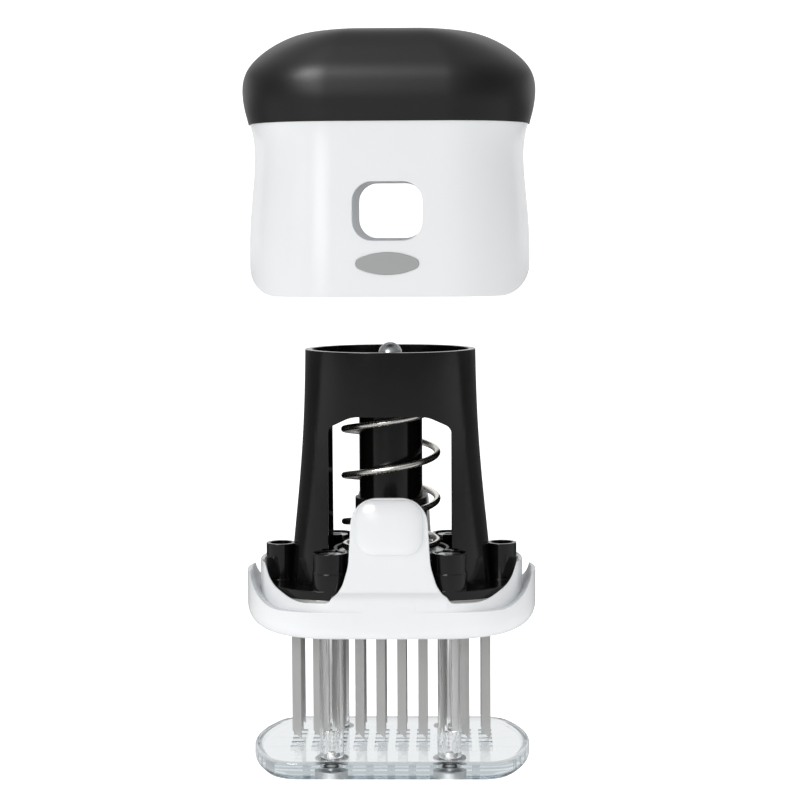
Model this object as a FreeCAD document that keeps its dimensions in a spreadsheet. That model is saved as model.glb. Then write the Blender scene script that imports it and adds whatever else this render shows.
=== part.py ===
import FreeCAD, Part
import math
import os
import re
import Sketcher

# Blade tenderiser: a clear foot with four guide posts stands on the board, a sprung head of
# steel blades slides down the posts, and a white cover with a soft cap lifts off the head.
# Millimetres, +Z up, origin on the floor under the middle of the foot. The cover is drawn
# lifted off; seated, it sits lower by cover_lift.

SIZES = {
    # foot plate and the grid of blades
    "plate_half_x": 51.0,
    "plate_half_y": 35.0,
    "plate_flat": 33.0,
    "plate_bulge": 28.0,
    "plate_thick": 7.0,
    "plate_round": 1.2,
    "plate_under_round": 3.2,
    "outline_flat": 20.0,
    "end_bulge": 4.0,
    "slot_long": 5.0,
    "slot_wide": 2.2,
    "blade_columns": 10,
    "blade_rows": 5,
    "column_pitch": 7.7,
    "row_pitch": 6.0,
    # guide posts
    "post_x": 21.3,
    "post_y": 23.6,
    "post_radius": 4.3,
    "post_socket_depth": 3.4,
    "post_spigot_radius": 3.0,
    "post_spigot": 6.6,
    "post_pilot_depth": 12.0,
    "foot_screw_head_radius": 5.7,
    "foot_screw_head": 1.8,
    "foot_screw_recess": 2.2,
    # gaps between pieces
    "fit_gap": 0.3,
    "slide_gap": 0.08,
    "seat_gap": 0.05,
    # collar
    "guard_gap": 43.3,
    "collar_wall": 1.7,
    "collar_lip": 1.8,
    "collar_lip_height": 2.2,
    "collar_end_rise": 25.1,
    "corner_radius": 12.0,
    "corner_ease": 0.1,
    "collar_round": 3.0,
    "flange_proud": 4.9,
    "flange_rise": 21.1,
    "flange_front_proud": 0.2,
    "scoop_rise": 13.4,
    "scoop_root_x": 18.2,
    "scoop_floor_x": 34.0,
    "scoop_knee_x": 43.6,
    "scoop_knee_rise": 18.7,
    "scoop_end_x": 47.3,
    "scoop_end_rise": 28.7,
    "scoop_root_radius": 8.0,
    "scoop_floor_radius": 16.0,
    "scoop_knee_radius": 10.0,
    # blades and their holder
    "blade_wide": 3.3,
    "blade_thick": 0.9,
    "blade_tip_level": 9.8,
    "blade_chisel": 3.2,
    "blade_head_wide": 4.4,
    "blade_head": 2.0,
    "carrier_thick": 10.3,
    "clamp_thick": 1.6,
    "bush_step": 3.5,
    "bush_radius": 5.5,
    # head base and its bosses
    "base_thick": 3.2,
    "bush_rise": 4.0,
    "boss_step_rise": 6.0,
    "boss_rise": 13.2,
    "boss_radius": 6.2,
    "boss_foot_radius": 6.5,
    "boss_bore": 5.2,
    "boss_slot": 4.4,
    "outer_boss_x": 40.8,
    "outer_boss_radius": 5.4,
    "outer_boss_bore": 4.1,
    "outer_boss_floor": 2.4,
    "screw_radius": 1.6,
    "screw_head_radius": 3.2,
    "screw_head": 2.2,
    "clamp_screw_x": 33.0,
    "clamp_screw_y": 19.5,
    "head_screw_length": 14.0,
    "clamp_screw_length": 12.0,
    # tower
    "tower_base_x": 37.2,
    "tower_low_x": 34.7,
    "tower_mid_x": 32.3,
    "tower_deck_x": 31.6,
    "tower_rim_x": 31.2,
    "tower_base_y": 22.6,
    "tower_low_y": 22.9,
    "tower_mid_y": 23.4,
    "tower_deck_y": 24.1,
    "tower_rim_y": 24.8,
    "tower_flat": 4.0,
    "tower_bulge": -4.0,
    "tower_wall": 2.4,
    "tower_height": 84.9,
    "tower_low_rise": 26.0,
    "tower_mid_rise": 54.0,
    "deck_rise": 68.4,
    "deck_thick": 3.0,
    "arch_half": 22.3,
    "arch_shoulder_rise": 57.4,
    "arch_rise": 61.8,
    "arch_crown_half": 13.5,
    "arch_shoulder_radius": 4.0,
    "arch_crown_radius": 12.0,
    "hub_radius": 7.0,
    "hub_rise": 9.0,
    "dome_radius": 4.4,
    "dome_height": 6.1,
    "washer_thick": 0.8,
    "top_washer_radius": 6.0,
    "dome_shank_radius": 2.0,
    "dome_shank": 17.0,
    # guide tube, spring and slider
    "tube_radius": 11.6,
    "tube_bore": 9.4,
    "tube_plug": 6.0,
    "tube_foot_rise": 2.4,
    "sleeve_wall": 1.5,
    "sleeve_top_rise": 30.3,
    "cup_radius": 21.4,
    "cup_floor_rise": 9.4,
    "cup_floor_thick": 2.2,
    "cup_rim": 1.9,
    "cup_rim_wall": 1.2,
    "arm_wide": 3.8,
    "arm_rise": 5.0,
    "socket_radius": 4.9,
    "socket_height": 7.0,
    "spring_radius": 17.2,
    "spring_wire": 2.0,
    "spring_turns": 3.0,
    "spring_start_angle": 25.0,
    "spring_washer_half": 2.4,
    # latches
    "latch_hinge_rise": 16.3,
    "latch_foot_drop": 1.0,
    "latch_gap": 0.1,
    "latch_thick": 1.7,
    "latch_foot_round": 0.8,
    "latch_root_half": 19.0,
    "latch_flare_half": 16.5,
    "latch_flare_rise": 19.4,
    "latch_waist_half": 14.6,
    "latch_waist_rise": 26.7,
    "latch_tip_half": 13.2,
    "latch_tip_rise": 51.1,
    "latch_flare_radius": 8.0,
    "latch_waist_radius": 20.0,
    "latch_tip_radius": 9.5,
    "button_rise": 40.6,
    "button_half_x": 11.95,
    "button_half_z": 9.95,
    "button_proud": 3.2,
    "button_corner": 6.7,
    "button_round": 1.6,
    # cover
    "cover_lift": 111.8,
    "shell_wall": 2.2,
    "seat_rise": 10.6,
    "rim_in_cap": 29.4,
    "shell_roof": 2.2,
    "shell_foot_x": 50.8,
    "shell_foot_y": 34.5,
    "shell_belly_x": 51.0,
    "shell_belly_y": 34.6,
    "shell_belly_rise": 13.5,
    "shell_mid_x": 50.2,
    "shell_mid_y": 34.2,
    "shell_mid_rise": 31.0,
    "shell_neck_x": 48.8,
    "shell_neck_y": 33.7,
    "shell_neck_rise": 49.0,
    "shell_top_x": 50.8,
    "shell_top_y": 34.4,
    "window_gap": 0.35,
    "badge_half_x": 11.1,
    "badge_half_z": 3.9,
    "badge_rise": 11.7,
    "badge_depth": 0.6,
    "badge_proud": 0.15,
    "badge_flat": 0.4,
    "badge_bulge": -1.9,
    "well_gap": 1.6,
    # soft cap and its core
    "cap_skin": 2.6,
    "cap_flatness": 0.39,
    "cap_height": 34.6,
    "cap_seam_x": 51.1,
    "cap_seam_y": 34.7,
    "cap_belly_x": 53.5,
    "cap_belly_y": 36.8,
    "cap_belly_rise": 11.5,
    "cap_shoulder_x": 51.2,
    "cap_shoulder_y": 35.0,
    "cap_shoulder_rise": 21.0,
    "cap_brow_x": 43.5,
    "cap_brow_y": 31.4,
    "cap_brow_rise": 27.3,
    "cap_crown_x": 30.6,
    "cap_crown_y": 26.2,
    "cap_crown_rise": 31.4,
    "cap_top_x": 8.0,
    "cap_top_y": 7.0,
    "core_wall": 2.4,
    "cap_screw_x": 40.0,
    "cap_screw_y": 13.0,
    "cap_post_radius": 4.0,
    "cap_screw_length": 12.0,
}

doc = FreeCAD.newDocument("tenderiser")
sheet = doc.addObject("Spreadsheet::Sheet", "Sizes")
for row, (alias, value) in enumerate(SIZES.items(), start=1):
    sheet.set(f"A{row}", alias)
    sheet.set(f"B{row}", str(value))
    sheet.setAlias(f"B{row}", alias)
doc.recompute()

# Heights that several pieces share, each as a formula of the sizes above.
HEAD = "(plate_thick + guard_gap)"
CARRIER = f"({HEAD} + collar_lip_height)"
CLAMP = f"({CARRIER} + carrier_thick)"
BASE = f"({CLAMP} + clamp_thick)"
FLOOR = f"({BASE} + base_thick)"
BUSH_TOP = f"({FLOOR} + bush_rise)"
DECK = f"({FLOOR} + deck_rise)"
HUB = f"({DECK} + deck_thick + hub_rise)"
RIM = f"({FLOOR} + tower_height)"
CUP = f"({FLOOR} + cup_floor_rise)"
ROOT = f"({HEAD} + latch_hinge_rise)"
BUTTON = f"({HEAD} + button_rise)"
SHELL = f"({HEAD} + seat_rise + cover_lift)"
SEAM = f"({RIM} + cover_lift - rim_in_cap)"
WALL_X = "(shell_foot_x - shell_wall - fit_gap)"
WALL_Y = "(shell_foot_y - shell_wall - fit_gap)"
POST_REACH = "sqrt(post_x ^ 2 + post_y ^ 2)"
PACK_X = f"({WALL_X} - collar_wall - fit_gap)"
PACK_Y = f"({WALL_Y} - collar_wall - fit_gap)"
WELL_Y = "(tower_rim_y + well_gap)"
HEAD_GAP = "(tower_rim_x + well_gap)"
CORNERS = {"front_left": (-1, -1), "front_right": (1, -1),
           "back_left": (-1, 1), "back_right": (1, 1)}

nodes = []


def formula(text):
    """The text with every size's name written as a cell of the sheet."""
    return re.sub(r"[a-z_]+", lambda m: f"Sizes.{m[0]}" if m[0] in SIZES else m[0], text)


def measure(text):
    """The number that a formula gives now."""
    return float(sheet.evalExpression(formula(text)))


def bind(thing, prop, text):
    thing.setExpression(prop, formula(text))


def keep(thing, label):
    """Names a finished sub-part and puts it on the list of files."""
    thing.Label = label
    nodes.append(thing)
    return thing


# --- sketches -------------------------------------------------------------------------------

def new_sketch(body, name, plane="XY_Plane", level="0", up="0"):
    """An empty sketch on a body's own plane, moved along its normal by level."""
    sketch = body.newObject("Sketcher::SketchObject", name)
    support = next(f for f in body.Origin.OriginFeatures if f.Role == plane)
    sketch.AttachmentSupport = [(support, "")]
    sketch.MapMode = "FlatFace"
    bind(sketch, "AttachmentOffset.Base.y", up)
    bind(sketch, "AttachmentOffset.Base.z", level)
    return sketch


def fix(sketch, kind, first, second, text):
    """One dimension from a point of the sketch to another, bound to a formula."""
    value = measure(text)
    index = sketch.addConstraint(Sketcher.Constraint(kind, *first, *second, value))
    sketch.setExpression(f"Constraints[{index}]", formula(text))


def fix_radius(sketch, curve, text):
    index = sketch.addConstraint(Sketcher.Constraint("Radius", curve, measure(text)))
    sketch.setExpression(f"Constraints[{index}]", formula(text))


def pin(sketch, point, x, y):
    """Holds a point of the sketch at x, y from its origin."""
    if x == "0":
        sketch.addConstraint(Sketcher.Constraint("PointOnObject", *point, -2))
    else:
        fix(sketch, "DistanceX", (-1, 1), point, x)
    if y == "0":
        sketch.addConstraint(Sketcher.Constraint("PointOnObject", *point, -1))
    else:
        fix(sketch, "DistanceY", (-1, 1), point, y)


def add_circle(sketch, x, y, radius):
    centre = FreeCAD.Vector(measure(x), measure(y), 0)
    shape = Part.Circle(centre, FreeCAD.Vector(0, 0, 1), measure(radius))
    circle = sketch.addGeometry(shape, False)
    fix_radius(sketch, circle, radius)
    pin(sketch, (circle, 3), x, y)


def add_oval(sketch, half_x, half_y, flat="outline_flat", bulge="end_bulge"):
    """Flat front and back, round ends of radius half_y + bulge, and corner arcs between."""
    end_radius = f"({half_y}) + ({bulge})"
    a, b, s, end = (measure(t) for t in (half_x, half_y, flat, end_radius))
    corner = (end**2 - b**2 - (s - a + end) ** 2) / (2 * (end - b))
    side = 1 if end > corner else -1
    turn = math.atan2(side * (b - corner), side * (s - a + end))
    up = FreeCAD.Vector(0, 0, 1)

    def arc(x, y, radius, start, stop):
        circle = Part.Circle(FreeCAD.Vector(x, y, 0), up, radius)
        return sketch.addGeometry(Part.ArcOfCircle(circle, start, stop), False)

    def line(x, y, stop_x, stop_y):
        ends = FreeCAD.Vector(x, y, 0), FreeCAD.Vector(stop_x, stop_y, 0)
        return sketch.addGeometry(Part.LineSegment(*ends), False)

    half = math.pi / 2
    front = line(-s, -b, s, -b)
    front_right = arc(s, corner - b, corner, -half, -turn)
    right = arc(a - end, 0, end, -turn, turn)
    back_right = arc(s, b - corner, corner, turn, half)
    back = line(s, b, -s, b)
    back_left = arc(-s, b - corner, corner, half, math.pi - turn)
    left = arc(end - a, 0, end, math.pi - turn, math.pi + turn)
    front_left = arc(-s, corner - b, corner, math.pi + turn, 3 * half)
    ring = [front, front_right, right, back_right, back, back_left, left, front_left]
    for one, other in zip(ring, ring[1:] + ring[:1]):
        sketch.addConstraint(Sketcher.Constraint("Tangent", one, 2, other, 1))
    for edge in (front, back):
        sketch.addConstraint(Sketcher.Constraint("Symmetric", edge, 1, edge, 2, -2))
    fix(sketch, "DistanceX", (front, 1), (front, 2), f"2 * ({flat})")
    fix(sketch, "DistanceX", (back, 2), (back, 1), f"2 * ({flat})")
    fix(sketch, "DistanceY", (front, 1), (-1, 1), half_y)
    fix(sketch, "DistanceY", (-1, 1), (back, 1), half_y)
    fix_radius(sketch, right, end_radius)
    fix_radius(sketch, left, end_radius)
    pin(sketch, (right, 3), f"({half_x}) - ({end_radius})", "0")
    pin(sketch, (left, 3), f"{end_radius} - ({half_x})", "0")


def add_outline(sketch, corners):
    """A closed outline through corners (x, y, radius), each rounded unless its radius is None."""
    count = len(corners)
    points = [FreeCAD.Vector(measure(x), measure(y), 0) for x, y, _ in corners]
    radii = [measure(r) if r else 0 for _, _, r in corners]
    into, out = [], []
    for i, point in enumerate(points):
        back = (points[i - 1] - point).normalize()
        ahead = (points[(i + 1) % count] - point).normalize()
        reach = radii[i] / math.tan(back.getAngle(ahead) / 2)
        into.append(point + back * reach)
        out.append(point + ahead * reach)
    lines = []
    for i in range(count):
        segment = Part.LineSegment(out[i], into[(i + 1) % count])
        lines.append(sketch.addGeometry(segment, False))
    for i, (x, y, radius) in enumerate(corners):
        before, after = lines[i - 1], lines[i]
        if not radius:
            sketch.addConstraint(Sketcher.Constraint("Coincident", before, 2, after, 1))
            pin(sketch, (after, 1), x, y)
            continue
        back = (into[i] - points[i]).normalize()
        ahead = (out[i] - points[i]).normalize()
        middle = (back + ahead).normalize()
        centre = points[i] + middle * (radii[i] / math.sin(back.getAngle(ahead) / 2))
        circle = Part.Circle(centre, FreeCAD.Vector(0, 0, 1), radii[i])
        left_turn = back.cross(ahead).z < 0
        first, last = (into[i], out[i]) if left_turn else (out[i], into[i])
        angles = [math.atan2(p.y - centre.y, p.x - centre.x) for p in (first, last)]
        arc = sketch.addGeometry(Part.ArcOfCircle(circle, *angles), False)
        start, stop = (1, 2) if left_turn else (2, 1)
        sketch.addConstraint(Sketcher.Constraint("Tangent", before, 2, arc, start))
        sketch.addConstraint(Sketcher.Constraint("Tangent", arc, stop, after, 1))
        fix_radius(sketch, arc, radius)
        mark = sketch.addGeometry(Part.Point(points[i]), True)
        sketch.addConstraint(Sketcher.Constraint("PointOnObject", mark, 1, before))
        sketch.addConstraint(Sketcher.Constraint("PointOnObject", mark, 1, after))
        pin(sketch, (mark, 1), x, y)


# --- features -------------------------------------------------------------------------------

def new_body(name):
    return doc.addObject("PartDesign::Body", name)


def four(x, y):
    """The four points at plus and minus x and y, by corner."""
    return {name: (f"{sx} * {x}", f"{sy} * {y}") for name, (sx, sy) in CORNERS.items()}


def two(x):
    """The two points on the long axis at plus and minus x."""
    return {"left": (f"-1 * {x}", "0"), "right": (x, "0")}


def add_circles(body, name, places, radius, level):
    """One sketch with the same circle at every place."""
    sketch = new_sketch(body, name, level=level)
    for x, y in places.values():
        add_circle(sketch, x, y, radius)
    return sketch


def add_pad(body, sketch, length, symmetric=False):
    pad = body.newObject("PartDesign::Pad", f"{sketch.Name}_pad")
    pad.Profile = sketch
    if symmetric:
        pad.SideType = "Symmetric"
    bind(pad, "Length", length)
    sketch.Visibility = False
    return pad


def volume_of(body):
    doc.recompute()
    return body.Shape.Volume


def add_pocket(body, sketch, length=None, reverse=False):
    """A pocket of a given depth, or right through both ways where no length is given."""
    before = volume_of(body)
    pocket = body.newObject("PartDesign::Pocket", f"{sketch.Name}_pocket")
    pocket.Profile = sketch
    pocket.Reversed = reverse
    if length is None:
        pocket.SideType = "Symmetric"
        pocket.Type = "ThroughAll"
    else:
        bind(pocket, "Length", length)
    if not volume_of(body) < before - 1e-6:
        raise RuntimeError(f"{pocket.Name} cuts nothing")
    return pocket


def add_loft(body, sections, kind="AdditiveLoft"):
    loft = body.newObject(f"PartDesign::{kind}", f"{sections[0].Name}_loft")
    loft.Profile = sections[0]
    loft.Sections = sections[1:]
    return loft


def oval_stack(body, name, levels, bulge="end_bulge"):
    """One oval sketch for each (level, half_x, half_y, flat) of a lofted piece."""
    stack = []
    for index, (level, half_x, half_y, flat) in enumerate(levels):
        sketch = new_sketch(body, f"{name}_{index}", level=level)
        add_oval(sketch, half_x, half_y, flat, bulge)
        stack.append(sketch)
    return stack


def add_fillet(body, radius, pick):
    """Rounds the edges of the body's tip that pick says yes to."""
    doc.recompute()
    tip = body.Tip
    names = [f"Edge{i}" for i, edge in enumerate(tip.Shape.Edges, start=1) if pick(edge)]
    fillet = body.newObject("PartDesign::Fillet", f"{tip.Name}_fillet")
    fillet.Base = (tip, names)
    bind(fillet, "Radius", radius)
    return fillet


def lies_at_height(level):
    """Picks the edges that lie wholly at one height."""
    height = measure(level)
    return lambda edge: (abs(edge.BoundBox.ZMin - height) < 1e-4
                         and abs(edge.BoundBox.ZMax - height) < 1e-4)


def add_pattern(body, features, sketch, grid):
    """Repeats features along the blade columns and, for a grid, along the rows as well."""
    before = volume_of(body)
    pattern = body.newObject("PartDesign::LinearPattern", f"{sketch.Name}_pattern")
    pattern.Originals = features
    pattern.Direction = (sketch, ["H_Axis"])
    bind(pattern, "Length", "(blade_columns - 1) * column_pitch")
    bind(pattern, "Occurrences", "blade_columns")
    if grid:
        pattern.Direction2 = (sketch, ["V_Axis"])
        bind(pattern, "Length2", "(blade_rows - 1) * row_pitch")
        bind(pattern, "Occurrences2", "blade_rows")
    body.Tip = pattern
    if abs(volume_of(body) - before) < 1e-6:
        raise RuntimeError(f"{pattern.Name} repeats nothing")
    return pattern


def add_slot(sketch, half_x, half_y):
    """The first slot of a blade grid: front row, left column."""
    x = "(blade_columns - 1) * column_pitch / 2"
    y = "(blade_rows - 1) * row_pitch / 2"
    low_x, high_x = f"-{x} - ({half_x})", f"-{x} + {half_x}"
    low_y, high_y = f"-{y} - ({half_y})", f"-{y} + {half_y}"
    add_outline(sketch, [(low_x, low_y, None), (high_x, low_y, None),
                         (high_x, high_y, None), (low_x, high_y, None)])


def cylinder(name, radius, height, x="0", y="0", level="0"):
    solid = doc.addObject("Part::Cylinder", name)
    bind(solid, "Radius", radius)
    bind(solid, "Height", height)
    bind(solid, "Placement.Base.x", x)
    bind(solid, "Placement.Base.y", y)
    bind(solid, "Placement.Base.z", level)
    return solid


def bar_towards(corner, name, start, stop, wide, height, level):
    """A flat bar on the line from the middle to a post, between two distances from the middle."""
    sx, sy = CORNERS[corner]
    bar = doc.addObject("Part::Box", name)
    bind(bar, "Length", f"({stop}) - ({start})")
    bind(bar, "Width", wide)
    bind(bar, "Height", height)
    across, along = f"({sx} * post_x / {POST_REACH})", f"({sy} * post_y / {POST_REACH})"
    bind(bar, "Placement.Base.x", f"({start}) * {across} + ({wide}) / 2 * {along}")
    bind(bar, "Placement.Base.y", f"({start}) * {along} - ({wide}) / 2 * {across}")
    bind(bar, "Placement.Base.z", level)
    bind(bar, "Placement.Rotation.Angle", f"atan2({sy} * post_y; {sx} * post_x)")
    return bar


def fuse(name, pieces):
    union = doc.addObject("Part::MultiFuse", name)
    union.Shapes = pieces
    union.Refine = True
    return union


def cut(name, base, tools):
    """Base less one tool or the union of several."""
    result = doc.addObject("Part::Cut", name)
    result.Base = base
    result.Tool = tools[0] if len(tools) == 1 else fuse(f"{name}_tools", tools)
    return result


def screws(label, places, level, head, thick, length, heads_up):
    """A group of separate screws: round head with a hexagon socket, and a plain shank."""
    group = []
    for side, (x, y) in places.items():
        name = f"{label}_{side}"
        low = f"{level} - ({length})" if heads_up else f"{level} + {thick}"
        parts = [cylinder(f"{name}_head", head, thick, x, y, level),
                 cylinder(f"{name}_shank", "screw_radius", length, x, y, low)]
        socket = doc.addObject("Part::Prism", f"{name}_socket")
        socket.Polygon = 6
        bind(socket, "Circumradius", f"0.45 * {head}")
        bind(socket, "Height", f"0.6 * {thick}")
        bind(socket, "Placement.Base.x", x)
        bind(socket, "Placement.Base.y", y)
        bind(socket, "Placement.Base.z", f"{level} + 0.4 * {thick}" if heads_up else level)
        group.append(cut(f"{name}_screw", fuse(f"{name}_blank", parts), [socket]))
    cluster = doc.addObject("Part::Compound", label)
    cluster.Links = group
    return keep(cluster, label)


# --- foot: slotted plate, four posts and the screws that hold them -----------------------------

plate = new_body("FootPlate")
plate_outline = new_sketch(plate, "plate_outline")
add_oval(plate_outline, "plate_half_x", "plate_half_y", "plate_flat", "plate_bulge")
add_pad(plate, plate_outline, "plate_thick")
add_fillet(plate, "plate_round", lies_at_height("plate_thick"))
add_fillet(plate, "plate_under_round", lies_at_height("0"))
plate_slot = new_sketch(plate, "plate_slot")
add_slot(plate_slot, "slot_long / 2", "slot_wide / 2")
add_pattern(plate, [add_pocket(plate, plate_slot)], plate_slot, grid=True)
posts = four("post_x", "post_y")
sockets = add_circles(plate, "plate_sockets", posts, "post_radius + seat_gap", "plate_thick")
add_pocket(plate, sockets, "post_socket_depth")
recesses = add_circles(plate, "plate_recesses", posts, "foot_screw_head_radius + fit_gap", "0")
add_pocket(plate, recesses, "foot_screw_recess", reverse=True)
add_pocket(plate, add_circles(plate, "plate_holes", posts, "screw_radius + fit_gap", "0"))
keep(plate, "foot_plate")

POST_FOOT = "(plate_thick - post_socket_depth)"
POST_TOP = f"({BUSH_TOP} + post_spigot)"
PILOT = "(screw_radius + seat_gap)"
for corner, (x, y) in posts.items():
    post = new_body(f"Post_{corner}")
    half_post = new_sketch(post, f"half_post_{corner}", plane="XZ_Plane")
    add_outline(half_post, [
        (PILOT, POST_FOOT, None),
        ("post_radius", POST_FOOT, None),
        ("post_radius", BUSH_TOP, None),
        ("post_spigot_radius", BUSH_TOP, None),
        ("post_spigot_radius", POST_TOP, None),
        (PILOT, POST_TOP, None),
        (PILOT, f"{POST_TOP} - post_pilot_depth", None),
        ("0", f"{POST_TOP} - post_pilot_depth", None),
        ("0", f"{POST_FOOT} + post_pilot_depth", None),
        (PILOT, f"{POST_FOOT} + post_pilot_depth", None),
    ])
    turned = post.newObject("PartDesign::Revolution", f"turned_post_{corner}")
    turned.Profile = half_post
    turned.ReferenceAxis = (half_post, ["V_Axis"])
    turned.Angle = 360
    bind(post, "Placement.Base.x", x)
    bind(post, "Placement.Base.y", y)
    keep(post, f"post_{corner}")

screws("post_screws", posts, "foot_screw_recess - foot_screw_head",
       "foot_screw_head_radius", "foot_screw_head", "0.9 * post_pilot_depth", heads_up=False)

# --- spring slider: sleeve round the guide tube, spring cup, four arms to the posts ------------

SLEEVE_BORE = "(tube_radius + slide_gap)"
TUBE_FOOT = f"({FLOOR} + tube_foot_rise)"
SOCKET_TOP = f"({BUSH_TOP} + socket_height)"
solid_parts = [
    cylinder("sleeve", f"{SLEEVE_BORE} + sleeve_wall", "sleeve_top_rise - tube_foot_rise",
             level=TUBE_FOOT),
    cut("cup", cylinder("cup_outside", "cup_radius", "cup_floor_thick + cup_rim",
                        level=f"{CUP} - cup_floor_thick"),
        [cylinder("cup_inside", "cup_radius - cup_rim_wall", "2 * cup_rim", level=CUP)]),
]
for corner, (x, y) in posts.items():
    solid_parts.append(cylinder(f"socket_{corner}", "socket_radius", "socket_height",
                                x, y, BUSH_TOP))
    solid_parts.append(bar_towards(corner, f"arm_{corner}", "cup_radius - 2 * cup_rim_wall",
                                   f"{POST_REACH} - 0.5 * socket_radius", "arm_wide",
                                   "cup_floor_rise - arm_rise", f"{FLOOR} + arm_rise"))
bores = [cylinder("sleeve_bore", SLEEVE_BORE, "2 * sleeve_top_rise",
                  level=f"{FLOOR} - sleeve_top_rise / 2")]
for corner, (x, y) in posts.items():
    bores.append(cylinder(f"spigot_bore_{corner}", "post_spigot_radius + seat_gap",
                          "2 * socket_height", x, y, f"{BUSH_TOP} - socket_height / 2"))
keep(cut("slider", fuse("slider_blank", solid_parts), bores), "spring_slider")

screws("slider_screws", posts, SOCKET_TOP, "0.85 * socket_radius", "1.6",
       "0.8 * post_pilot_depth", heads_up=True)
keep(cut("spring_seat", cylinder("spring_seat_disc", "spring_radius + spring_washer_half",
                                 "washer_thick", level=CUP),
         [cylinder("spring_seat_hole", "spring_radius - spring_washer_half",
                   "3 * washer_thick", level=f"{CUP} - washer_thick")]), "spring_washer")

# --- collar: outer ring of the head, scooped front and back where fingers reach the buttons ----

LATCH_FOOT = f"({ROOT} - latch_foot_drop)"
SEAT_REACH = "(shell_belly_x + corner_ease + fit_gap)"
FLANGE_REACH = f"({WALL_X} + flange_proud + corner_ease)"
HIGH = f"({HEAD} + 2 * collar_end_rise)"
LATCH_WAIST = f"({HEAD} + latch_waist_rise)"

collar = new_body("Collar")
flange = new_sketch(collar, "flange", level=HEAD)
add_oval(flange, f"{WALL_X} + flange_proud", f"{WALL_Y} + flange_front_proud",
         "outline_flat + flange_proud")
add_pad(collar, flange, "flange_rise")
add_fillet(collar, "collar_round", lies_at_height(HEAD))
seat = new_sketch(collar, "seat", plane="XZ_Plane")
seat_level = f"{HEAD} + seat_rise - fit_gap"
add_outline(seat, [
    (f"-{SEAT_REACH}", seat_level, "corner_radius + fit_gap"),
    (SEAT_REACH, seat_level, "corner_radius + fit_gap"),
    (SEAT_REACH, HIGH, None),
    (f"-{SEAT_REACH}", HIGH, None),
])
add_pocket(collar, seat)
wall = new_sketch(collar, "collar_wall_outline", level=f"{HEAD} + collar_round")
add_oval(wall, WALL_X, WALL_Y)
add_pad(collar, wall, "collar_end_rise - collar_round")
inside = new_sketch(collar, "collar_inside", level=CARRIER)
add_oval(inside, f"{WALL_X} - collar_wall", f"{WALL_Y} - collar_wall")
add_pocket(collar, inside, "collar_end_rise", reverse=True)
mouth = new_sketch(collar, "collar_mouth", level=HEAD)
add_oval(mouth, f"{WALL_X} - collar_wall - collar_lip", f"{WALL_Y} - collar_wall - collar_lip")
add_pocket(collar, mouth)
scoop = new_sketch(collar, "scoops", plane="XZ_Plane")
for sign in ("", "-1 * "):
    add_outline(scoop, [
        (f"{sign}latch_waist_half", HIGH, None),
        (f"{sign}latch_waist_half", LATCH_WAIST, None),
        (f"{sign}scoop_root_x", f"{HEAD} + scoop_rise", "scoop_root_radius"),
        (f"{sign}scoop_floor_x", f"{HEAD} + scoop_rise", "scoop_floor_radius"),
        (f"{sign}scoop_knee_x", f"{HEAD} + scoop_knee_rise", "scoop_knee_radius"),
        (f"{sign}scoop_end_x", f"{HEAD} + scoop_end_rise", None),
        (f"{sign}scoop_end_x", HIGH, None),
    ])
add_pocket(collar, scoop)
latch_gate = new_sketch(collar, "latch_gate", plane="XZ_Plane")
gate_half = "(scoop_root_x + 0.3 * scoop_root_radius)"
add_outline(latch_gate, [
    (f"-{gate_half}", f"{LATCH_FOOT} - latch_gap", None),
    (gate_half, f"{LATCH_FOOT} - latch_gap", None),
    (gate_half, HIGH, None),
    (f"-{gate_half}", HIGH, None),
])
add_pocket(collar, latch_gate)


def round_corners(body, name, reach, low, high):
    """Rounds a piece's lower corners as seen from the front, by a cut right through it."""
    sketch = new_sketch(body, name, plane="XZ_Plane")
    for half, bottom, top, radius in (
            (f"({reach} + corner_radius)", f"{low} - corner_radius", f"{high} + 1", None),
            (reach, f"{low} - corner_ease", high, "corner_radius")):
        add_outline(sketch, [(f"-{half}", bottom, radius), (half, bottom, radius),
                             (half, top, None), (f"-{half}", top, None)])
    add_pocket(body, sketch)


round_corners(collar, "collar_corners", FLANGE_REACH, HEAD, HIGH)
keep(collar, "collar")

# --- head base: the black deck, four guide bosses and two outer bosses -------------------------

head_base = new_body("HeadBase")
base_outline = new_sketch(head_base, "base_outline", level=BASE)
add_oval(base_outline, PACK_X, PACK_Y)
add_pad(head_base, base_outline, "base_thick")
outer = two("outer_boss_x")
clamps = four("clamp_screw_x", "clamp_screw_y")
for name, places, radius, rise in (
        ("boss_feet", posts, "boss_foot_radius", "boss_step_rise"),
        ("bosses", posts, "boss_radius", "boss_rise"),
        ("outer_bosses", outer, "outer_boss_radius", "boss_rise")):
    circles = add_circles(head_base, name, places, radius, BASE)
    add_pad(head_base, circles, f"base_thick + {rise}")
for name, places, radius, level, depth in (
        ("bush_holes", posts, "bush_radius + seat_gap", BASE, "base_thick + bush_rise"),
        ("boss_bores", posts, "boss_bore", BUSH_TOP, "boss_rise"),
        ("outer_bores", outer, "outer_boss_bore", f"{FLOOR} + outer_boss_floor", "boss_rise"),
        ("outer_holes", outer, "screw_radius + fit_gap", BASE, "boss_rise"),
        ("clamp_pilots", clamps, PILOT, BASE, "0.8 * base_thick")):
    circles = add_circles(head_base, name, places, radius, level)
    add_pocket(head_base, circles, depth, reverse=True)
slots = [bar_towards(corner, f"boss_slot_{corner}", f"{POST_REACH} - boss_radius - 1",
                     POST_REACH, "boss_slot", "boss_rise", f"{FLOOR} + arm_rise - fit_gap")
         for corner in CORNERS]
keep(cut("slotted_base", head_base, slots), "head_base")

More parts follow.
